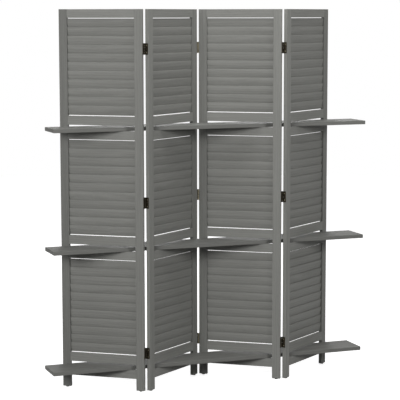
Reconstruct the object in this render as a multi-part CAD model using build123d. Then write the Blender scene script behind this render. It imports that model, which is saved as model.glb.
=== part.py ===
from build123d import *
import os
from math import cos, radians, sin

# Folding screen of louvred wooden panels, with long shelf boards laid through slots in them.
#
# Millimetres, +Z up. The panels zigzag along X, and the viewer stands on the -Y side. The origin is on
# the floor, at the middle of the box round the whole screen. The middles of all panels lie on Y = 0.
#
# Each panel is built in its own frame: X along the panel from its left end, Y back from its front
# face, and Z up from the floor.

# The row of panels
overall_height = 1700
panel_count = 4
fold_angle = 36.5        # degrees between each panel and the row
fold_gap = 4             # between the ends of two panels, if they lay in one line
pin_offset = 4           # from a panel's face to the axis of its hinge pins

# The frame of one panel
panel_width = 388
frame_thickness = 16
stile_width = 38
top_rail_height = 38
slot_rail_height = 40    # each of the two rails round a shelf's slot
foot_height = 57         # from the floor to the underside of the bottom rail
edge_radius = 1

# The louvres: slats whose upper edges lean towards the front
slat_width = 42
slat_thickness = 4
slat_tilt = 8            # degrees from upright
slat_spacing = 38        # wanted between slats; a whole number of them fills the section
slat_top_gap = 2.5
slat_bottom_gap = 3.2
slat_back_set = 1.2      # from a slat's rear edge to the back of the frame
slat_tenon = 5
slat_play = 0.15
slat_edge_radius = 0.7

# The shelf boards, lowest first. Each stands off the row's middle, to the right and to the back, within
# the play that the panels leave it.
shelf_length = 1498
shelf_depth = 152
shelf_thickness = 17
shelf_headroom = 7       # free slot above a board
shelf_clearance = 0.02   # under a board, which lies loose on its rails
shelf_shift = (0, 10, 17.5)
shelf_set_back = (-6, 1, 6)
shelf_edge_radius = 1.5
level_names = ("lower", "middle", "upper")

# The dowels between rails and stiles
dowel_diameter = 6
dowel_length = 30
dowel_spacing = 18
dowel_play = 0.1
dowel_end_gap = 0.6      # free depth of the hole at each end of a dowel

# The glides nailed under the stiles
glide_diameter = 15
glide_height = 4
glide_edge_radius = 2
nail_diameter = 2
nail_length = 12

# The butt hinges
hinge_height = 50
hinge_inset = 173        # from the screen's top and from the floor to a hinge's middle
hinges_per_fold = 3
leaf_thickness = 1.5
leaf_margin = 1          # from the leaf's outer edge to the panel's far face
leaf_corner_radius = 2
knuckle_count = 5
knuckle_radius = 3.2
knuckle_gap = 0.3
pin_diameter = 3
pin_play = 0.05
pin_stand = 0.6          # how far a pin's domed end stands out of the knuckles

# The hinge screws
screw_length = 14
screw_head_diameter = 6
screw_shank_diameter = 3
screw_tip_length = 4
screw_spacing = 30
screw_play = 0.05
recess_width = 0.8
recess_length = 3.6
recess_depth = 0.8

# Worked out: heights
slot_height = shelf_thickness + shelf_headroom
section_count = len(level_names)
slot_stack = 2 * slot_rail_height + slot_height
section_height = (overall_height - foot_height - top_rail_height) / section_count - slot_stack
level_step = section_height + slot_stack
stile_height = overall_height - glide_height

# Worked out: widths and the zigzag
rail_length = panel_width - 2 * stile_width
panel_step = (
    (panel_width + fold_gap) * cos(radians(fold_angle))
    + (frame_thickness + 2 * pin_offset) * sin(radians(fold_angle))
)
row_middle = -(max(shelf_shift) + min(shelf_shift)) / 2

# Worked out: louvres
slat_rise = slat_width * cos(radians(slat_tilt)) + slat_thickness * sin(radians(slat_tilt))
slat_run = slat_width * sin(radians(slat_tilt)) + slat_thickness * cos(radians(slat_tilt))
slat_travel = section_height - slat_top_gap - slat_bottom_gap - slat_rise
slat_count = round(slat_travel / slat_spacing) + 1
slat_pitch = slat_travel / (slat_count - 1)
slat_middle_y = frame_thickness - slat_back_set - slat_run / 2

# Worked out: hinges
hinge_span = overall_height - 2 * hinge_inset
hinge_heights = [
    hinge_inset + hinge_span * i / (hinges_per_fold - 1) for i in range(hinges_per_fold)
]
leaf_reach = pin_offset + frame_thickness - leaf_margin
knuckle_pitch = hinge_height / knuckle_count


def save(node, solids):
    """Write the solids of one node as parts/NODE.step."""
    shape = solids[0] if len(solids) == 1 else Compound(solids)
    export_step(shape, f"parts/{node}.step")


# Places

def panel_turn(panel):
    """Angle of a panel to the row: even panels run forward to the right, odd ones back."""
    return -fold_angle if panel % 2 == 0 else fold_angle


def panel_place(panel):
    """Place of a panel's own frame: its left end, front face and the floor."""
    middle_x = row_middle + (panel - (panel_count - 1) / 2) * panel_step
    turned = Location((middle_x, 0, 0), (0, 0, panel_turn(panel)))
    return turned * Pos(-panel_width / 2, -frame_thickness / 2, 0)


def pin_side(fold):
    """Side of the panels on which a fold's pins lie: 1 behind them, -1 in front."""
    return 1 if fold % 2 == 0 else -1


def pin_place(panel, end, side):
    """Place of a hinge's middle, on the floor, in the world. End 1 is a panel's right end, -1 its left."""
    x = panel_width + fold_gap / 2 if end == 1 else -fold_gap / 2
    y = frame_thickness + pin_offset if side == 1 else -pin_offset
    return panel_place(panel) * Pos(x, y, 0)


def section_bottom(level):
    """Height at which the louvred section over a level's slot begins."""
    return foot_height + slot_stack + level * level_step


def shelf_seat(level):
    """Height of the rail on which a shelf board lies."""
    return foot_height + slot_rail_height + level * level_step


def rail_heights():
    """Height of the underside of each rail, in pairs round a slot, and last the top rail's."""
    pairs = [
        (shelf_seat(level) - slot_rail_height, shelf_seat(level) + slot_height)
        for level in range(section_count)
    ]
    return pairs, overall_height - top_rail_height


def slat_middles(level):
    """Heights of the middles of a section's slats, from the bottom up."""
    lowest = section_bottom(level) + slat_bottom_gap + slat_rise / 2
    return [lowest + i * slat_pitch for i in range(slat_count)]


# Frame pieces

def dowel_points():
    """Places of the dowels' axes at one end of the rails, as (y, z)."""
    pairs, top = rail_heights()
    middles = [z + slot_rail_height / 2 for pair in pairs for z in pair] + [top + top_rail_height / 2]
    return [
        (frame_thickness / 2, middle + offset)
        for middle in middles
        for offset in (-dowel_spacing / 2, dowel_spacing / 2)
    ]


def dowel_solid(x, y, z, play=0, end_gap=0):
    """A dowel along X, or with play and end gap the hole that takes it."""
    length = dowel_length + 2 * end_gap
    return Pos(x, y, z) * Rot(0, 90, 0) * Cylinder(dowel_diameter / 2 + play, length)


def slat_solid(z, length, play=0):
    """A slat's blank across the middle of the panel, or with play the mortises that take its ends."""
    blank = Box(length, slat_thickness + 2 * play, slat_width + 2 * play)
    return Pos(panel_width / 2, slat_middle_y, z) * Rot(slat_tilt, 0, 0) * blank


def screw_points():
    """Heights of the hinge screws on one end of a panel."""
    return [
        height + offset
        for height in hinge_heights
        for offset in (-screw_spacing / 2, screw_spacing / 2)
    ]


def stile(end, hinged):
    """A stile: end 1 is the panel's right one. It has mortises, dowel holes and screw holes."""
    outer_x = panel_width if end == 1 else 0
    inner_x = outer_x - end * stile_width
    middle_x = (outer_x + inner_x) / 2
    blank = Pos(middle_x, frame_thickness / 2, glide_height + stile_height / 2) * Box(
        stile_width, frame_thickness, stile_height
    )
    blank = fillet(blank.edges(), edge_radius)

    mortise_span = rail_length + 2 * (slat_tenon + slat_play)
    cuts = [
        slat_solid(z, mortise_span, slat_play)
        for level in range(section_count)
        for z in slat_middles(level)
    ]
    cuts += [dowel_solid(inner_x, y, z, dowel_play, dowel_end_gap) for y, z in dowel_points()]
    if hinged:
        depth = screw_length - leaf_thickness + screw_play
        pilot = Rot(0, 90, 0) * Cylinder(screw_shank_diameter / 2 + screw_play, depth)
        cuts += [
            Pos(outer_x - end * depth / 2, frame_thickness / 2, z) * pilot for z in screw_points()
        ]
    nail_hole = Cylinder(nail_diameter / 2, nail_length, align=(Align.CENTER, Align.CENTER, Align.MIN))
    cuts.append(Pos(middle_x, frame_thickness / 2, glide_height) * nail_hole)
    return blank - cuts


def rail(underside, height):
    """A rail between the stiles, with dowel holes in its ends."""
    middle_z = underside + height / 2
    blank = Pos(panel_width / 2, frame_thickness / 2, middle_z) * Box(
        rail_length, frame_thickness, height
    )
    blank = fillet(blank.edges().filter_by(Axis.X), edge_radius)
    holes = [
        dowel_solid(x, frame_thickness / 2, middle_z + offset, dowel_play, dowel_end_gap)
        for x in (stile_width, panel_width - stile_width)
        for offset in (-dowel_spacing / 2, dowel_spacing / 2)
    ]
    return blank - holes


def slat(z):
    """One slat with eased long edges, its ends in the stiles' mortises."""
    blank = slat_solid(z, rail_length + 2 * slat_tenon)
    return fillet(blank.edges().filter_by(Axis.X), slat_edge_radius)


def rail_dowels():
    """The dowels at both ends of all the rails of a panel."""
    return [
        dowel_solid(x, y, z)
        for x in (stile_width, panel_width - stile_width)
        for y, z in dowel_points()
    ]


def foot_glides():
    """The nailed glides under a panel's two stiles."""
    base = (Align.CENTER, Align.CENTER, Align.MIN)
    pad = Cylinder(glide_diameter / 2, glide_height, align=base)
    pad = fillet(pad.edges().sort_by(Axis.Z)[0], glide_edge_radius)
    nail = Pos(0, 0, glide_height) * Cylinder(nail_diameter / 2, nail_length, align=base)
    glide = pad + nail
    return [
        Pos(x, frame_thickness / 2, 0) * glide for x in (stile_width / 2, panel_width - stile_width / 2)
    ]


# Hinge pieces, about a pin at X = Y = 0

def knuckle(index, radius, length):
    """A knuckle, or the room for one, at its place along the hinge."""
    z = (index + 0.5) * knuckle_pitch - hinge_height / 2
    return Pos(0, 0, z) * Cylinder(radius, length)


def screw_blank(play=0):
    """A countersunk head and shank along -Z, or with play the hole for it in the leaf."""
    below = (Align.CENTER, Align.CENTER, Align.MAX)
    head_radius = screw_head_diameter / 2 + play
    shank_radius = screw_shank_diameter / 2 + play
    straight = screw_length - leaf_thickness - screw_tip_length
    head = Cone(shank_radius, head_radius, leaf_thickness, align=below)
    shank = Pos(0, 0, -leaf_thickness) * Cylinder(shank_radius, straight, align=below)
    return head + shank


def screw():
    """A hinge screw along -Z, its head's face at Z = 0, with a cross recess and a tapered tip."""
    below = (Align.CENTER, Align.CENTER, Align.MAX)
    tip_z = screw_tip_length - screw_length
    tip = Pos(0, 0, tip_z) * Cone(recess_width / 2, screw_shank_diameter / 2, screw_tip_length, align=below)
    recess = Box(recess_length, recess_width, recess_depth, align=below)
    recess += Box(recess_width, recess_length, recess_depth, align=below)
    return screw_blank() + tip - recess


def leaf_face_place(end, side, z):
    """Place on a leaf's open face, over the middle of the panel's end, with +Z out of the face."""
    x = -end * (fold_gap / 2 - leaf_thickness)
    y = -side * (pin_offset + frame_thickness / 2)
    return Pos(x, y, z) * Rot(0, 90 * end, 0)


def hinge_leaf(end, side, own_knuckles):
    """A leaf with its knuckles, on a panel's end face, with the pin on the given side."""
    plate_x = -end * (fold_gap - leaf_thickness) / 2
    plate = Pos(plate_x, -side * leaf_reach / 2, 0) * Box(leaf_thickness, leaf_reach, hinge_height)
    far_edges = plate.edges().filter_by(Axis.X).group_by(Axis.Y)[0 if side == 1 else -1]
    plate = fillet(far_edges, leaf_corner_radius)

    other_knuckles = [i for i in range(knuckle_count) if i not in own_knuckles]
    leaf = plate + [knuckle(i, knuckle_radius, knuckle_pitch - knuckle_gap) for i in own_knuckles]
    room = [
        knuckle(i, knuckle_radius + knuckle_gap, knuckle_pitch + knuckle_gap) for i in other_knuckles
    ]
    bore = Cylinder(pin_diameter / 2 + pin_play, hinge_height)
    holes = [
        leaf_face_place(end, side, z) * screw_blank(screw_play)
        for z in (-screw_spacing / 2, screw_spacing / 2)
    ]
    return leaf - room - bore - holes


def hinge_pin():
    """A hinge pin with domed ends."""
    pin = Cylinder(pin_diameter / 2, hinge_height + 2 * pin_stand)
    return fillet(pin.edges().filter_by(GeomType.CIRCLE), pin_stand)


# Assembly

def save_panels():
    """Write the wooden pieces, dowels and glides of all panels."""
    pairs, top = rail_heights()
    top_rail = rail(top, top_rail_height)
    rail_pairs = [[rail(z, slot_rail_height) for z in pair] for pair in pairs]
    louvres = [[slat(z) for z in slat_middles(level)] for level in range(section_count)]
    dowels = rail_dowels()
    glides = foot_glides()
    stiles = {(end, hinged): stile(end, hinged) for end in (-1, 1) for hinged in (False, True)}

    for panel in range(panel_count):
        name = f"panel_{panel + 1}"
        place = panel_place(panel)
        save(f"{name}_left_stile", [place * stiles[-1, panel > 0]])
        save(f"{name}_right_stile", [place * stiles[1, panel < panel_count - 1]])
        save(f"{name}_top_rail", [place * top_rail])
        for level, level_name in enumerate(level_names):
            save(f"{name}_{level_name}_shelf_rails", [place * piece for piece in rail_pairs[level]])
            save(f"{name}_{level_name}_louvres", [place * piece for piece in louvres[level]])
        save(f"{name}_rail_dowels", [place * dowel for dowel in dowels])
        save(f"{name}_foot_glides", [place * glide for glide in glides])


def save_shelves():
    """Write the shelf boards, lying on their rails along the row."""
    for level, level_name in enumerate(level_names):
        z = shelf_seat(level) + shelf_clearance + shelf_thickness / 2
        place = Pos(row_middle + shelf_shift[level], shelf_set_back[level], z)
        blank = place * Box(shelf_length, shelf_depth, shelf_thickness)
        save(f"{level_name}_shelf", [fillet(blank.edges(), shelf_edge_radius)])


def save_hinges():
    """Write the leaves and pins of each fold, and each panel's hinge screws."""
    left_knuckles = range(0, knuckle_count, 2)
    right_knuckles = range(1, knuckle_count, 2)
    pin = hinge_pin()
    one_screw = screw()
    screws = {panel: [] for panel in range(panel_count)}
    for fold in range(panel_count - 1):
        side = pin_side(fold)
        ends = ((fold, 1, "left", left_knuckles), (fold + 1, -1, "right", right_knuckles))
        for panel, end, leaf_name, own_knuckles in ends:
            place = pin_place(panel, end, side)
            leaf = hinge_leaf(end, side, own_knuckles)
            save(f"fold_{fold + 1}_{leaf_name}_leaves", [place * Pos(0, 0, z) * leaf for z in hinge_heights])
            screws[panel] += [place * leaf_face_place(end, side, z) * one_screw for z in screw_points()]
        save(f"fold_{fold + 1}_pins", [pin_place(fold, 1, side) * Pos(0, 0, z) * pin for z in hinge_heights])
    for panel, solids in screws.items():
        save(f"panel_{panel + 1}_hinge_screws", solids)


os.makedirs("parts", exist_ok=True)
save_panels()
save_shelves()
save_hinges()
print(f"{slat_count} slats a section, {slat_pitch:.2f} apart")
print(f"section {section_height:.1f}, panel step {panel_step:.3f}, row middle {row_middle:.1f}")
print(f"shelf seats {[shelf_seat(level) for level in range(section_count)]}, hinges {hinge_heights}")
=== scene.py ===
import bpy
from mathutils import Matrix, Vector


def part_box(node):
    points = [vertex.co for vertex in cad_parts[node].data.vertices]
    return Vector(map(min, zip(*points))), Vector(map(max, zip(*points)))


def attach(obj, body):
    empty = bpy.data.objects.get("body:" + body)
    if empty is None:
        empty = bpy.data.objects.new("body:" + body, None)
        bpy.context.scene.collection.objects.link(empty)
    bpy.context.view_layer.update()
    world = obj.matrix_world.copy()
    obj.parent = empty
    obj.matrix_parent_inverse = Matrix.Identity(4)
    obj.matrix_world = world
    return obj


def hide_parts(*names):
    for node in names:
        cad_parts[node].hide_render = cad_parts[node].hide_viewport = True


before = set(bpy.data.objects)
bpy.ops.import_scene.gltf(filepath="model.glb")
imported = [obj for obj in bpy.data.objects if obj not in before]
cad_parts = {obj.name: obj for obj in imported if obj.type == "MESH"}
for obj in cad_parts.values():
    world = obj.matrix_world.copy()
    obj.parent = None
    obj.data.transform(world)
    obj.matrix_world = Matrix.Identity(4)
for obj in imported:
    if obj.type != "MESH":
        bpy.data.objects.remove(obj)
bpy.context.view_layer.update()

import math

import bmesh
import bpy
from bpy.props import FloatProperty, FloatVectorProperty, IntProperty, PointerProperty
from mathutils import Matrix, Vector

bl_info = {
    "name": "Louvred Folding Screen",
    "version": (1, 0, 0),
    "blender": (4, 5, 0),
    "location": "View3D > Sidebar > Folding Screen",
    "description": "Finishes a folding screen of louvred panels with shelf boards",
    "category": "Object",
}

PANELS = (1, 2, 3, 4)
FOLDS = (1, 2, 3)
LEVELS = ("lower", "middle", "upper")

# Painted shade and light in each panel's left and right stile's stain: darker at the back of the row,
# lighter at the front folds, as the light falls
STILE_PAINTED_SHADE = {1: (0.72, 0.9), 2: (1.08, 0.9), 3: (0.84, 0.98), 4: (1.08, 0.82)}
BOARD_STAIN = 0.68

# The lamps' places and diameters, by the names of their power settings
LAMPS = {
    "left": ((-4.6, -3.2, 2.3), 1.75),
    "right": ((3.6, -4.3, 2.5), 1.75),
    "front": ((-2.36, -5.1, 2.65), 1.75),
    "top": ((0, -0.3, 3.3), 2.0),
    "back": ((1.4, 4.0, 2.2), 2.0),
}
LAMP_TARGET = (0, 0, 0.9)

# The floor's own light grows to full white between these distances from the middle
FLOOR_FADE = (1.2, 3.2)
FLOOR_GLOW = (0.82, 1.0)
FLOOR_GREY = 0.05        # what the object sees of it
FLOOR_WHITE = 0.8        # what takes the shadow


# Places read from the frame

def middle(name):
    """Middle of a node's box."""
    low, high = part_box(name)
    return (low + high) / 2


def panel_place(panel):
    """Place of a panel: its middle on the floor, with X to its right end and Y to its back."""
    left = middle(f"panel_{panel}_left_stile")
    right = middle(f"panel_{panel}_right_stile")
    along = right - left
    turn = math.atan2(along.y, along.x)
    centre = (left + right) / 2
    return Matrix.Translation((centre.x, centre.y, 0)) @ Matrix.Rotation(turn, 4, "Z")


def panel_turn(panel):
    """Angle of a panel to the row."""
    return panel_place(panel).to_euler().z


# Settings

class WoodSettings(bpy.types.PropertyGroup):
    """Stain and grain of the wood."""

    dark: FloatVectorProperty(
        name="Dark Grain", description="Colour of the stain where the grain takes most of it",
        default=(0.126, 0.127, 0.117), subtype="COLOR", min=0, max=1)
    light: FloatVectorProperty(
        name="Light Grain", description="Colour of the stain where the grain takes least of it",
        default=(0.281, 0.282, 0.264), subtype="COLOR", min=0, max=1)
    bare_dark: FloatVectorProperty(
        name="Bare Dark", description="Darker grain of the unstained dowels",
        default=(0.42, 0.27, 0.15), subtype="COLOR", min=0, max=1)
    bare_light: FloatVectorProperty(
        name="Bare Light", description="Lighter grain of the unstained dowels",
        default=(0.62, 0.45, 0.28), subtype="COLOR", min=0, max=1)
    relief: FloatProperty(
        name="Grain Relief", description="Depth of the open grain under the stain",
        default=0.0004, min=0, unit="LENGTH")


class LouvreSettings(bpy.types.PropertyGroup):
    """Sizes of the louvres' slats."""

    width: FloatProperty(
        name="Slat Width", description="Size across a slat, before it is tilted",
        default=0.042, min=0.01, unit="LENGTH")
    thickness: FloatProperty(
        name="Slat Thickness", description="Thickness of a slat",
        default=0.004, min=0.001, unit="LENGTH")
    tilt: FloatProperty(
        name="Slat Tilt", description="Lean of the slats' upper edges to the front",
        default=math.radians(8), unit="ROTATION")
    tilt_change: FloatProperty(
        name="Tilt Change", description="Largest difference of one slat from the tilt",
        default=math.radians(0.15), unit="ROTATION")
    edge: FloatProperty(
        name="Edge Radius", description="Rounding of a slat's long edges",
        default=0.0007, min=0, unit="LENGTH")
    count: IntProperty(
        name="Slats a Section", description="Number of slats between two rails",
        default=11, min=2)


class HardwareSettings(bpy.types.PropertyGroup):
    """Colours of the hinges, screws and glides."""

    worn: FloatVectorProperty(
        name="Worn Brass", description="Colour of the screws and of the middle fold's hinges",
        default=(0.2, 0.18, 0.125), subtype="COLOR", min=0, max=1)
    # A darker copy of the brass: painted shade for the outer folds' hinges, whose leaves lie in the
    # shaded gaps
    shaded_brass: FloatVectorProperty(
        name="Aged Brass", description="Colour of the outer folds' hinges",
        default=(0.045, 0.039, 0.028), subtype="COLOR", min=0, max=1)
    steel: FloatVectorProperty(
        name="Pin Steel", description="Colour of the hinge pins",
        default=(0.34, 0.33, 0.31), subtype="COLOR", min=0, max=1)
    plastic: FloatVectorProperty(
        name="Glide Plastic", description="Colour of the glides under the feet",
        default=(0.035, 0.034, 0.032), subtype="COLOR", min=0, max=1)


class StudioSettings(bpy.types.PropertyGroup):
    """Camera, lamps and floor."""

    camera: FloatVectorProperty(
        name="Camera", description="Place of the camera",
        default=(-2.4114, -6.3802, 1.671), unit="LENGTH")
    heading: FloatProperty(
        name="Heading", description="Turn of the camera to the right of straight back",
        default=math.radians(20.39), unit="ROTATION")
    dip: FloatProperty(
        name="Dip", description="How far the camera looks down",
        default=math.radians(6.977), unit="ROTATION")
    roll: FloatProperty(
        name="Roll", description="Roll of the camera",
        default=math.radians(0.082), unit="ROTATION")
    lens: FloatProperty(
        name="Lens", description="Focal length in millimetres on a 36 mm sensor",
        default=135.6, min=1)
    left: FloatProperty(
        name="Left Lamp", description="Power of the lamp at the front left", default=160, min=0)
    right: FloatProperty(
        name="Right Lamp", description="Power of the lamp at the front right", default=112, min=0)
    front: FloatProperty(
        name="Front Lamp", description="Power of the lamp over the camera", default=50, min=0)
    top: FloatProperty(
        name="Top Lamp", description="Power of the lamp overhead", default=50, min=0)
    back: FloatProperty(
        name="Back Lamp", description="Power of the lamp behind the screen", default=40, min=0)
    ambient: FloatProperty(
        name="Ambient", description="Light from all round", default=0.01, min=0)
    floor: FloatProperty(
        name="Floor Radius", description="Radius of the floor", default=9, min=1, unit="LENGTH")


def settings():
    """The settings in the scene."""
    return bpy.context.scene.folding_screen


class ScreenSettings(bpy.types.PropertyGroup):
    """All settings of the folding screen."""

    wood: PointerProperty(name="Wood", description="Stain and grain", type=WoodSettings)
    louvres: PointerProperty(
        name="Louvres", description="Sizes of the slats", type=LouvreSettings)
    hardware: PointerProperty(
        name="Hardware", description="Metals and plastic", type=HardwareSettings)
    studio: PointerProperty(
        name="Studio", description="Camera, lamps and floor", type=StudioSettings)


# Node trees

def add(tree, kind, inputs=None, **options):
    """Add a node. An input's name or number goes with its value, or with the output that feeds it."""
    made = tree.nodes.new(kind)
    for name, value in options.items():
        setattr(made, name, value)
    for key, value in (inputs or {}).items():
        if isinstance(value, bpy.types.NodeSocket):
            tree.links.new(value, made.inputs[key])
        else:
            made.inputs[key].default_value = value
    return made


def maths(tree, operation, *values):
    """Output of a Math node."""
    return add(tree, "ShaderNodeMath", dict(enumerate(values)), operation=operation).outputs[0]


def vector_maths(tree, operation, *values):
    """Output of a Vector Math node."""
    made = add(tree, "ShaderNodeVectorMath", dict(enumerate(values)), operation=operation)
    return made.outputs[1 if operation in ("DOT_PRODUCT", "LENGTH") else 0]


def stretched_noise(tree, place, scale, detail=2.0, roughness=0.5):
    """Noise at so many features a metre along each axis."""
    scaled = vector_maths(tree, "MULTIPLY", place, scale)
    inputs = {"Vector": scaled, "Scale": 1.0, "Detail": detail, "Roughness": roughness}
    return add(tree, "ShaderNodeTexNoise", inputs).outputs[0]


def ramp(tree, value, low, high, to_low=0.0, to_high=1.0):
    """Map a value's range to another, and clamp it."""
    inputs = {0: value, 1: low, 2: high, 3: to_low, 4: to_high}
    return add(tree, "ShaderNodeMapRange", inputs).outputs[0]


def blend(tree, share, first, second):
    """Mix two colours."""
    mixed = add(tree, "ShaderNodeMix", {0: share, 6: first, 7: second}, data_type="RGBA")
    return mixed.outputs[2]


def weighted(tree, base, *pairs):
    """Base plus each value times its weight."""
    total = base
    for value, weight in pairs:
        total = maths(tree, "MULTIPLY_ADD", value, weight, total)
    return total


def grain_group():
    """Grain of stained softwood: fibres, growth rings, streaks of stain and open pores, along X."""
    found = bpy.data.node_groups.get("Wood Grain")
    if found:
        return found
    tree = bpy.data.node_groups.new("Wood Grain", "ShaderNodeTree")
    tree.interface.new_socket("Place", in_out="INPUT", socket_type="NodeSocketVector")
    tree.interface.new_socket("Tone", in_out="INPUT", socket_type="NodeSocketFloat")
    tree.interface.new_socket("End Grain", in_out="INPUT", socket_type="NodeSocketFloat")
    tree.interface.new_socket("Shade", in_out="OUTPUT", socket_type="NodeSocketFloat")
    tree.interface.new_socket("Relief", in_out="OUTPUT", socket_type="NodeSocketFloat")
    start = add(tree, "NodeGroupInput")
    place = start.outputs["Place"]

    swing = add(tree, "ShaderNodeTexNoise", {
        "Vector": vector_maths(tree, "MULTIPLY", place, (2.2, 7, 7)),
        "Scale": 1.0, "Detail": 1.0})
    sway = vector_maths(tree, "SUBTRACT", swing.outputs[1], (0.5, 0.5, 0.5))
    bent = vector_maths(tree, "MULTIPLY_ADD", sway, (0, 0.03, 0.03), place)

    streaks = stretched_noise(tree, bent, (2.4, 48, 48), 3.0)
    fibres = stretched_noise(tree, bent, (7, 330, 330), 2.0, 0.6)
    pores = ramp(tree, stretched_noise(tree, bent, (16, 620, 620), 1.0), 0.6, 0.75)
    heart = vector_maths(tree, "ADD", bent, (0, 0.06, 0.11))
    rings = add(tree, "ShaderNodeTexWave", {
        "Vector": heart, "Scale": 34.0, "Distortion": 2.2, "Detail": 2.0, "Detail Scale": 1.5,
    }, wave_type="RINGS", rings_direction="X").outputs[1]

    shade = weighted(
        tree, 0.1, (streaks, 0.36), (fibres, 0.32), (rings, 0.1), (pores, -0.14),
        (start.outputs["Tone"], 0.06), (start.outputs["End Grain"], -0.2),
    )
    relief = weighted(tree, 0.5, (fibres, 0.6), (rings, 0.2), (pores, -0.7))
    add(tree, "NodeGroupOutput", {"Shade": shade, "Relief": relief})
    return tree


def new_material(name):
    """An empty material, its tree and its shader."""
    material = bpy.data.materials.new(name)
    material.use_nodes = True
    return material, material.node_tree, material.node_tree.nodes["Principled BSDF"]


def finish_wood(tree, shader, place, tone, ends, dark, light):
    """Feed a shader with grain."""
    grain = add(tree, "ShaderNodeGroup")
    grain.node_tree = grain_group()
    tree.links.new(place, grain.inputs["Place"])
    tree.links.new(tone, grain.inputs["Tone"])
    if ends is not None:
        tree.links.new(ends, grain.inputs["End Grain"])
    shade = grain.outputs["Shade"]
    colour = blend(tree, shade, (*dark, 1), (*light, 1))
    tree.links.new(colour, shader.inputs["Base Color"])
    tree.links.new(ramp(tree, shade, 0, 1, 0.74, 0.6), shader.inputs["Roughness"])
    bump = add(tree, "ShaderNodeBump", {
        "Height": grain.outputs["Relief"], "Strength": 0.5, "Distance": settings().wood.relief})
    tree.links.new(bump.outputs[0], shader.inputs["Normal"])
    shader.inputs["Specular IOR Level"].default_value = 0.35


def solid_wood(name, turn=0.0, upright=False, tones=(0, 3, 9), bare=False, stain=1.0):
    """Wood whose grain runs along a panel, or up it, by the place of the piece in the frame."""
    material, tree, shader = new_material(name)
    rotation = Matrix.Rotation(-turn, 3, "Z")
    if upright:
        rotation = Matrix.Rotation(math.pi / 2, 3, "Y") @ rotation
    along = rotation.row[0]
    angles = rotation.to_euler("XYZ")
    spot = add(tree, "ShaderNodeTexCoord")
    place = add(tree, "ShaderNodeMapping", {
        "Vector": spot.outputs["Object"], "Rotation": angles}).outputs[0]
    tone = ramp(tree, stretched_noise(tree, place, tones, 0.0), 0.25, 0.75, -1, 1)
    facing = vector_maths(tree, "DOT_PRODUCT", spot.outputs["Normal"], tuple(along))
    ends = ramp(tree, maths(tree, "ABSOLUTE", facing), 0.75, 0.95)
    wood = settings().wood
    colours = (wood.bare_dark, wood.bare_light) if bare else (wood.dark, wood.light)
    # The stain scales both colours; for the stiles it also carries painted shade
    dark, light = (tuple(part * stain for part in colour) for colour in colours)
    finish_wood(tree, shader, place, tone, ends, dark, light)
    return material


def slat_wood():
    """Wood whose grain follows each slat, by the attributes on it."""
    material, tree, shader = new_material("Stained Slats")
    on_slat = add(tree, "ShaderNodeAttribute", attribute_name="slat_place").outputs["Vector"]
    shift = add(tree, "ShaderNodeAttribute", attribute_name="slat_shift").outputs["Vector"]
    tone = add(tree, "ShaderNodeAttribute", attribute_name="slat_tone").outputs["Fac"]
    place = vector_maths(tree, "ADD", on_slat, shift)
    wood = settings().wood
    finish_wood(tree, shader, place, tone, None, wood.dark, wood.light)
    return material


def metal(name, colour, roughness, patina):
    """Metal with a worn patina, by the place of the piece in the frame."""
    material, tree, shader = new_material(name)
    spot = add(tree, "ShaderNodeTexCoord").outputs["Object"]
    stains = stretched_noise(tree, spot, (160, 160, 160), 4.0, 0.6)
    scratches = stretched_noise(tree, spot, (900, 900, 120), 2.0)
    dull = tuple(part * patina for part in colour)
    mottled = blend(tree, ramp(tree, stains, 0.35, 0.65), (*dull, 1), (*colour, 1))
    tree.links.new(mottled, shader.inputs["Base Color"])
    rough = weighted(tree, roughness - 0.12, (stains, 0.16), (scratches, 0.08))
    tree.links.new(rough, shader.inputs["Roughness"])
    bump = add(tree, "ShaderNodeBump", {"Height": scratches, "Strength": 0.3, "Distance": 0.00005})
    tree.links.new(bump.outputs[0], shader.inputs["Normal"])
    shader.inputs["Metallic"].default_value = 1.0
    return material


def moulded_plastic(name, colour):
    """Moulded plastic with scuffs."""
    material, tree, shader = new_material(name)
    spot = add(tree, "ShaderNodeTexCoord").outputs["Object"]
    scuffs = stretched_noise(tree, spot, (500, 500, 250), 4.0, 0.6)
    pale = tuple(part * 2.2 for part in colour)
    scuffed = blend(tree, ramp(tree, scuffs, 0.5, 0.8), (*colour, 1), (*pale, 1))
    tree.links.new(scuffed, shader.inputs["Base Color"])
    tree.links.new(ramp(tree, scuffs, 0.2, 0.8, 0.4, 0.65), shader.inputs["Roughness"])
    bump = add(tree, "ShaderNodeBump", {"Height": scuffs, "Strength": 0.3, "Distance": 0.0001})
    tree.links.new(bump.outputs[0], shader.inputs["Normal"])
    return material


def dress(name, material):
    """Give a node of the frame its material."""
    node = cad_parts[name]
    if not node.material_slots:
        node.data.materials.append(material)
    for slot in node.material_slots:
        slot.material = material


# Geometry Nodes

def new_growth(name, inputs):
    """A Geometry Nodes tree with named inputs, its start node and its sockets."""
    tree = bpy.data.node_groups.new(name, "GeometryNodeTree")
    tree.interface.new_socket("Geometry", in_out="INPUT", socket_type="NodeSocketGeometry")
    tree.interface.new_socket("Geometry", in_out="OUTPUT", socket_type="NodeSocketGeometry")
    for socket_name, kind in inputs.items():
        tree.interface.new_socket(socket_name, in_out="INPUT", socket_type=f"NodeSocket{kind}")
    return tree, add(tree, "NodeGroupInput").outputs


def grown_mesh(tree, values):
    """The plain mesh that a tree makes from these values."""
    holder = bpy.data.objects.new("growing", bpy.data.meshes.new("growing"))
    bpy.context.scene.collection.objects.link(holder)
    modifier = holder.modifiers.new("Growth", "NODES")
    modifier.node_group = tree
    for socket in tree.interface.items_tree:
        if socket.in_out == "INPUT" and socket.name in values:
            modifier[socket.identifier] = values[socket.name]
    graph = bpy.context.evaluated_depsgraph_get()
    mesh = bpy.data.meshes.new_from_object(
        holder.evaluated_get(graph), preserve_all_data_layers=True, depsgraph=graph)
    holder.modifiers.remove(modifier)
    bpy.data.objects.remove(holder)
    return mesh


def along_axis(tree, axis, value):
    """Vector of this length along one axis."""
    return add(tree, "ShaderNodeCombineXYZ", {axis: value}).outputs[0]


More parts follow.
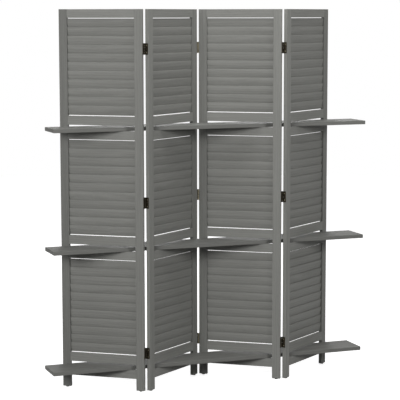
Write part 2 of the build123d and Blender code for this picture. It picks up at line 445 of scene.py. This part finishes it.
def stored(tree, geometry, name, value, kind="FLOAT_VECTOR", domain="INSTANCE"):
    """Geometry with a named attribute."""
    return add(tree, "GeometryNodeStoreNamedAttribute", {
        "Geometry": geometry, "Name": name, "Value": value}, data_type=kind, domain=domain).outputs[0]


def one_slat(tree, given):
    """A slat along X with eased edges, whose points keep their place on it."""
    outline = add(tree, "GeometryNodeCurvePrimitiveQuadrilateral", {
        "Width": given["Slat Thickness"], "Height": given["Slat Width"]})
    rounded = add(tree, "GeometryNodeFilletCurve", {
        "Curve": outline.outputs[0], "Radius": given["Edge Radius"], "Count": 2}, mode="POLY")
    half = maths(tree, "MULTIPLY", given["Slat Length"], 0.5)
    line = add(tree, "GeometryNodeCurvePrimitiveLine", {
        "Start": along_axis(tree, 0, maths(tree, "MULTIPLY", half, -1.0)),
        "End": along_axis(tree, 0, half)})
    slat = add(tree, "GeometryNodeCurveToMesh", {
        "Curve": line.outputs[0], "Profile Curve": rounded.outputs[0], "Fill Caps": True})
    own_place = add(tree, "GeometryNodeInputPosition")
    return stored(tree, slat.outputs[0], "slat_place", own_place.outputs[0], domain="POINT")


def slat_points(tree, given):
    """Middles of all slats, from the lowest up."""
    sections = add(tree, "GeometryNodeMeshLine", {
        "Count": given["Sections"], "Offset": along_axis(tree, 2, given["Section Step"])})
    column = add(tree, "GeometryNodeMeshLine", {
        "Count": given["Slats"], "Offset": along_axis(tree, 2, given["Slat Pitch"])})
    columns = add(tree, "GeometryNodeInstanceOnPoints", {
        "Points": sections.outputs[0], "Instance": column.outputs[0]})
    points = add(tree, "GeometryNodeRealizeInstances", {"Geometry": columns.outputs[0]})
    seat = add(tree, "ShaderNodeCombineXYZ", {1: given["Depth"], 2: given["Lowest"]})
    return add(tree, "GeometryNodeSetPosition", {
        "Geometry": points.outputs[0], "Offset": seat.outputs[0]}).outputs[0]


def either_way(tree, seed):
    """A random number from -1 to 1 for each slat."""
    return add(
        tree, "FunctionNodeRandomValue", {2: -1.0, 3: 1.0, "Seed": seed}, data_type="FLOAT").outputs[1]


def louvre_tree():
    """Sections of tilted slats, between a panel's stiles, from the lowest slat up."""
    tree, given = new_growth("Louvres", {
        "Slat Length": "Float", "Slat Width": "Float", "Slat Thickness": "Float",
        "Edge Radius": "Float", "Tilt": "Float", "Tilt Change": "Float",
        "Slats": "Int", "Slat Pitch": "Float", "Sections": "Int", "Section Step": "Float",
        "Lowest": "Float", "Depth": "Float", "Seed": "Int", "Material": "Material",
    })
    own_tilt = maths(
        tree, "MULTIPLY_ADD", either_way(tree, given["Seed"]), given["Tilt Change"], given["Tilt"])
    slats = add(tree, "GeometryNodeInstanceOnPoints", {
        "Points": slat_points(tree, given), "Instance": one_slat(tree, given),
        "Rotation": along_axis(tree, 0, own_tilt)})
    tone = either_way(tree, maths(tree, "ADD", given["Seed"], 100.0))
    toned = stored(tree, slats.outputs[0], "slat_tone", tone, kind="FLOAT")
    shift = add(tree, "FunctionNodeRandomValue", {
        0: (0.0, 0.0, 0.0), 1: (9.0, 2.0, 2.0),
        "Seed": maths(tree, "ADD", given["Seed"], 200.0)}, data_type="FLOAT_VECTOR")
    shifted = stored(tree, toned, "slat_shift", shift.outputs[0])
    real = add(tree, "GeometryNodeRealizeInstances", {"Geometry": shifted})
    painted = add(tree, "GeometryNodeSetMaterial", {
        "Geometry": real.outputs[0], "Material": given["Material"]})
    add(tree, "NodeGroupOutput", {"Geometry": painted.outputs[0]})
    return tree


def new_piece(name, mesh, body, replaced):
    """A finished piece from a mesh that is already in its place."""
    piece = bpy.data.objects.new(name, mesh)
    bpy.context.scene.collection.objects.link(piece)
    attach(piece, body)
    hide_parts(*replaced)
    return piece


# Operators

class ScreenOperator(bpy.types.Operator):
    """Base of the screen's operators."""

    bl_options = {"REGISTER", "UNDO"}


class SCREEN_OT_frames(ScreenOperator):
    """Stain the stiles and rails of all panels, with painted shade on the stiles, and finish their
    dowels and glides
    """

    bl_idname = "screen.frames"
    bl_label = "Finish Frames"

    def execute(self, context):
        bare = solid_wood("Bare Dowels", tones=(0, 9, 9), bare=True)
        plastic = moulded_plastic("Glide Plastic", settings().hardware.plastic)
        for panel in PANELS:
            turn = panel_turn(panel)
            rails = solid_wood(f"Stained Rails {panel}", turn)
            # Each stile's stain is scaled by its painted shade: darker stiles stand at the back of the
            # row, lighter ones at the front folds
            for side, stain in zip(("left", "right"), STILE_PAINTED_SHADE[panel]):
                name = f"Stained Stile {panel} {side}"
                upright = solid_wood(name, turn, upright=True, tones=(0, 4, 5), stain=stain)
                dress(f"panel_{panel}_{side}_stile", upright)
            dress(f"panel_{panel}_top_rail", rails)
            for level in LEVELS:
                dress(f"panel_{panel}_{level}_shelf_rails", rails)
            dress(f"panel_{panel}_rail_dowels", bare)
            dress(f"panel_{panel}_foot_glides", plastic)
        return {"FINISHED"}


class SCREEN_OT_louvres(ScreenOperator):
    """Grow the slats of each panel's three sections between its stiles"""

    bl_idname = "screen.louvres"
    bl_label = "Make Louvres"

    def execute(self, context):
        sizes = settings().louvres
        tree = louvre_tree()
        wood = slat_wood()
        for panel in PANELS:
            replaced = [f"panel_{panel}_{level}_louvres" for level in LEVELS]
            place = panel_place(panel)
            mesh = grown_mesh(tree, {
                **self.section_values(panel, place, [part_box(name) for name in replaced]),
                "Slat Width": sizes.width,
                "Slat Thickness": sizes.thickness,
                "Edge Radius": sizes.edge,
                "Tilt": sizes.tilt,
                "Tilt Change": sizes.tilt_change,
                "Slats": sizes.count,
                "Seed": 10 * panel,
                "Material": wood,
            })
            mesh.transform(place)
            mesh.name = f"panel_{panel}_slats"
            new_piece(mesh.name, mesh, f"panel_{panel}", replaced)
        return {"FINISHED"}

    def section_values(self, panel, place, boxes):
        """Sizes and places of a panel's slats, from the boxes of its sections, lowest first."""
        sizes = settings().louvres
        low, high = boxes[0]
        span = high - low
        turn = panel_turn(panel)
        cosine, sine = abs(math.cos(turn)), abs(math.sin(turn))
        slat_rise = sizes.width * math.cos(sizes.tilt) + sizes.thickness * math.sin(sizes.tilt)
        return {
            "Slat Length": (span.x * cosine - span.y * sine) / (cosine ** 2 - sine ** 2),
            "Slat Pitch": (span.z - slat_rise) / (sizes.count - 1),
            "Sections": len(boxes),
            "Section Step": boxes[1][0].z - low.z,
            "Lowest": low.z + slat_rise / 2,
            "Depth": (place.inverted() @ ((low + high) / 2)).y,
        }


class SCREEN_OT_shelves(ScreenOperator):
    """Stain the three long shelf boards"""

    bl_idname = "screen.shelves"
    bl_label = "Finish Shelves"

    def execute(self, context):
        board = solid_wood("Stained Boards", tones=(0, 0, 3), stain=BOARD_STAIN)
        for level in LEVELS:
            dress(f"{level}_shelf", board)
        return {"FINISHED"}


class SCREEN_OT_hinges(ScreenOperator):
    """Finish the hinge leaves, pins and screws"""

    bl_idname = "screen.hinges"
    bl_label = "Finish Hinges"

    def execute(self, context):
        colours = settings().hardware
        shaded_brass = metal("Aged Brass", colours.shaded_brass, roughness=0.42, patina=0.35)
        worn = metal("Worn Brass", colours.worn, roughness=0.42, patina=0.35)
        steel = metal("Pin Steel", colours.steel, roughness=0.35, patina=0.6)
        for fold in FOLDS:
            # Folds that stand in front get the darker copy of the brass: painted shade for their
            # leaves, which lie in the shaded gaps between panels
            in_front = middle(f"fold_{fold}_pins").y < 0
            leaves = shaded_brass if in_front else worn
            dress(f"fold_{fold}_left_leaves", leaves)
            dress(f"fold_{fold}_right_leaves", leaves)
            dress(f"fold_{fold}_pins", steel)
        for panel in PANELS:
            dress(f"panel_{panel}_hinge_screws", worn)
        return {"FINISHED"}


class SCREEN_OT_studio(ScreenOperator):
    """Set up the floor, the lamps, the white surroundings and the camera"""

    bl_idname = "screen.studio"
    bl_label = "Set Up Studio"

    def execute(self, context):
        studio = settings().studio
        self.make_floor(studio)
        self.make_world(context, studio)
        for name, (place, size) in LAMPS.items():
            self.make_lamp(f"{name.title()} Lamp", place, size, getattr(studio, name))
        self.make_camera(context, studio)
        return {"FINISHED"}

    def make_floor(self, studio):
        """A floor that the camera sees as white with a soft shadow, and the object as dark grey."""
        mesh = bpy.data.meshes.new("floor")
        shape = bmesh.new()
        bmesh.ops.create_circle(shape, cap_ends=True, segments=64, radius=studio.floor)
        shape.to_mesh(mesh)
        shape.free()
        floor = bpy.data.objects.new("floor", mesh)
        bpy.context.scene.collection.objects.link(floor)
        material, tree, shader = new_material("Pale Floor")
        shader.inputs["Base Color"].default_value = (*[FLOOR_GREY] * 3, 1)
        shader.inputs["Roughness"].default_value = 0.9
        seen = add(tree, "ShaderNodeBsdfDiffuse", {"Color": (*[FLOOR_WHITE] * 3, 1)})
        spot = add(tree, "ShaderNodeTexCoord").outputs["Object"]
        glow = ramp(tree, vector_maths(tree, "LENGTH", spot), *FLOOR_FADE, *FLOOR_GLOW)
        white = add(tree, "ShaderNodeEmission", {"Color": (1, 1, 1, 1), "Strength": glow})
        bright = add(tree, "ShaderNodeAddShader", {0: seen.outputs[0], 1: white.outputs[0]})
        mixed = add(tree, "ShaderNodeMixShader", {
            0: self.seen_directly(tree), 1: shader.outputs[0], 2: bright.outputs[0]})
        tree.links.new(mixed.outputs[0], tree.nodes["Material Output"].inputs["Surface"])
        mesh.materials.append(material)

    def seen_directly(self, tree):
        """1 for rays from the camera, or by way of a gloss or glass."""
        rays = add(tree, "ShaderNodeLightPath").outputs
        mirrored = maths(tree, "MAXIMUM", rays["Is Glossy Ray"], rays["Is Transmission Ray"])
        return maths(tree, "MAXIMUM", rays["Is Camera Ray"], mirrored)

    def make_world(self, context, studio):
        """White surroundings for the camera, and dim ones for everything else."""
        world = bpy.data.worlds.new("Studio")
        context.scene.world = world
        world.use_nodes = True
        tree = world.node_tree
        ambient = add(tree, "ShaderNodeBackground", {
            "Color": (1, 1, 1, 1), "Strength": studio.ambient})
        white = tree.nodes["Background"]
        white.inputs["Color"].default_value = (1, 1, 1, 1)
        white.inputs["Strength"].default_value = 1.0
        mixed = add(tree, "ShaderNodeMixShader", {
            0: self.seen_directly(tree), 1: ambient.outputs[0], 2: white.outputs[0]})
        tree.links.new(mixed.outputs[0], tree.nodes["World Output"].inputs["Surface"])

    def make_lamp(self, name, place, size, power):
        """A round lamp aimed at the middle of the screen."""
        data = bpy.data.lights.new(name, "AREA")
        data.shape = "DISK"
        data.size = size
        data.energy = power
        lamp = bpy.data.objects.new(name, data)
        lamp.location = place
        aim = Vector(LAMP_TARGET) - Vector(place)
        lamp.rotation_euler = aim.to_track_quat("-Z", "Y").to_euler()
        lamp.visible_camera = False
        bpy.context.scene.collection.objects.link(lamp)

    def make_camera(self, context, studio):
        """The photo's camera."""
        data = bpy.data.cameras.new("Camera")
        data.sensor_width = 36
        data.lens = studio.lens
        data.clip_start = 0.1
        data.clip_end = 100
        camera = bpy.data.objects.new("Camera", data)
        camera.location = studio.camera
        aim = Matrix.Rotation(-studio.heading, 4, "Z") @ Matrix.Rotation(
            math.pi / 2 - studio.dip, 4, "X") @ Matrix.Rotation(-studio.roll, 4, "Z")
        camera.rotation_euler = aim.to_euler()
        context.scene.collection.objects.link(camera)
        context.scene.camera = camera
        context.scene.view_settings.view_transform = "Standard"


class SCREEN_PT_sidebar(bpy.types.Panel):
    """Sizes, colours and steps of the folding screen"""

    bl_label = "Folding Screen"
    bl_idname = "SCREEN_PT_sidebar"
    bl_space_type = "VIEW_3D"
    bl_region_type = "UI"
    bl_category = "Folding Screen"

    def draw(self, context):
        chosen = context.scene.folding_screen
        for group in (chosen.wood, chosen.louvres, chosen.hardware, chosen.studio):
            box = self.layout.box()
            for name in group.__annotations__:
                box.prop(group, name)
        for step in STEPS:
            self.layout.operator(step.bl_idname)


STEPS = (
    SCREEN_OT_frames, SCREEN_OT_louvres, SCREEN_OT_shelves, SCREEN_OT_hinges, SCREEN_OT_studio,
)
CLASSES = (
    WoodSettings, LouvreSettings, HardwareSettings, StudioSettings, ScreenSettings,
    *STEPS, SCREEN_PT_sidebar,
)


def register():
    for one in CLASSES:
        bpy.utils.register_class(one)
    bpy.types.Scene.folding_screen = PointerProperty(
        name="Folding Screen", description="Settings of the folding screen", type=ScreenSettings)


def unregister():
    del bpy.types.Scene.folding_screen
    for one in reversed(CLASSES):
        bpy.utils.unregister_class(one)


def main():
    register()
    bpy.ops.screen.frames()
    bpy.ops.screen.louvres()
    bpy.ops.screen.shelves()
    bpy.ops.screen.hinges()
    bpy.ops.screen.studio()


if __name__ == "__main__":
    main()
